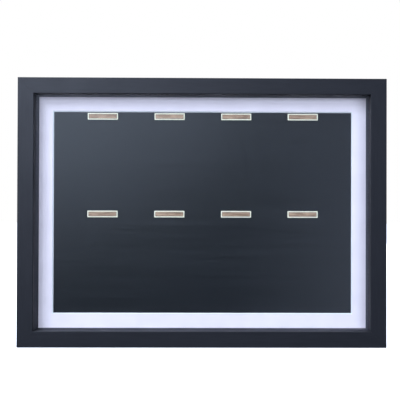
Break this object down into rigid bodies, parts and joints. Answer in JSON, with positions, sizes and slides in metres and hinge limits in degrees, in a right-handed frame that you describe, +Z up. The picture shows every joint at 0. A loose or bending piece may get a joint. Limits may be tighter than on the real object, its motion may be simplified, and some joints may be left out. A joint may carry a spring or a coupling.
{
  "type": "coin display frame",
  "caption": "Landscape deep box frame for displaying coins, with a white window mount, a black board with name plates, and a back held by turn buttons.",
  "frame": {"origin": "middle of the bottom face, on which the frame stands", "axes": "+X along the width to the viewer's right, +Z up, the front faces -Y and the wall is at +Y"},
  "size_m": [0.456, 0.038, 0.333],
  "materials": {
    "black_frame": "satin black foil over a wood-based moulding",
    "nail_steel": "plain spring steel",
    "clear_glazing": "clear, polished",
    "black_spacer": "satin black",
    "white_mount_board": "matt white with a pale core",
    "black_display_board": "satin black facing over a light core",
    "plate_laminate": "tan face on a pale plate that shows as a rim",
    "adhesive_pad": "soft foam pad",
    "back_fibreboard": "raw brown fibreboard",
    "zinc_plate": "bright zinc plate",
    "bumper_rubber": "matt black rubber"
  },
  "bodies": {
    "frame": {"rail_top": "black_frame", "rail_bottom": "black_frame", "rail_left": "black_frame", "rail_right": "black_frame", "corner_v_nails": "nail_steel", "glazing_sheet": "clear_glazing", "spacer_top": "black_spacer", "spacer_bottom": "black_spacer", "spacer_left": "black_spacer", "spacer_right": "black_spacer", "window_mount": "white_mount_board", "display_board": "black_display_board", "name_plate_1": "plate_laminate", "name_plate_2": "plate_laminate", "name_plate_3": "plate_laminate", "name_plate_4": "plate_laminate", "name_plate_5": "plate_laminate", "name_plate_6": "plate_laminate", "name_plate_7": "plate_laminate", "name_plate_8": "plate_laminate", "name_plate_pads": "adhesive_pad", "backboard": "back_fibreboard", "turn_button_screws": "zinc_plate", "hanger_strap_left": "zinc_plate", "hanger_strap_right": "zinc_plate", "hanger_screws": "zinc_plate", "wall_bumper_left": "bumper_rubber", "wall_bumper_right": "bumper_rubber"},
    "turn_button_1": {"turn_button_1": "zinc_plate"},
    "turn_button_2": {"turn_button_2": "zinc_plate"},
    "turn_button_3": {"turn_button_3": "zinc_plate"},
    "turn_button_4": {"turn_button_4": "zinc_plate"},
    "turn_button_5": {"turn_button_5": "zinc_plate"},
    "turn_button_6": {"turn_button_6": "zinc_plate"},
    "hanging_ring_left": {"hanging_ring_left": "zinc_plate"},
    "hanging_ring_right": {"hanging_ring_right": "zinc_plate"}
  },
  "joints": [
    {"name": "turn_button_1_pivot", "type": "hinge", "parent": "frame", "child": "turn_button_1", "pos_m": [-0.13, 0.0172, 0.324], "axis": [0, 1, 0], "range_deg": [-90, 90]},
    {"name": "turn_button_2_pivot", "type": "hinge", "parent": "frame", "child": "turn_button_2", "pos_m": [0.13, 0.0172, 0.324], "axis": [0, 1, 0], "range_deg": [-90, 90]},
    {"name": "turn_button_3_pivot", "type": "hinge", "parent": "frame", "child": "turn_button_3", "pos_m": [-0.13, 0.0172, 0.009], "axis": [0, 1, 0], "range_deg": [-90, 90]},
    {"name": "turn_button_4_pivot", "type": "hinge", "parent": "frame", "child": "turn_button_4", "pos_m": [0.13, 0.0172, 0.009], "axis": [0, 1, 0], "range_deg": [-90, 90]},
    {"name": "turn_button_5_pivot", "type": "hinge", "parent": "frame", "child": "turn_button_5", "pos_m": [-0.219, 0.0172, 0.1665], "axis": [0, 1, 0], "range_deg": [-90, 90]},
    {"name": "turn_button_6_pivot", "type": "hinge", "parent": "frame", "child": "turn_button_6", "pos_m": [0.219, 0.0172, 0.1665], "axis": [0, 1, 0], "range_deg": [-90, 90]},
    {"name": "hanging_ring_left_swing", "type": "hinge", "parent": "frame", "child": "hanging_ring_left", "pos_m": [-0.2195, 0.0187, 0.24], "axis": [1, 0, 0], "range_deg": [0, 180]},
    {"name": "hanging_ring_right_swing", "type": "hinge", "parent": "frame", "child": "hanging_ring_right", "pos_m": [0.2195, 0.0187, 0.24], "axis": [1, 0, 0], "range_deg": [0, 180]}
  ]
}
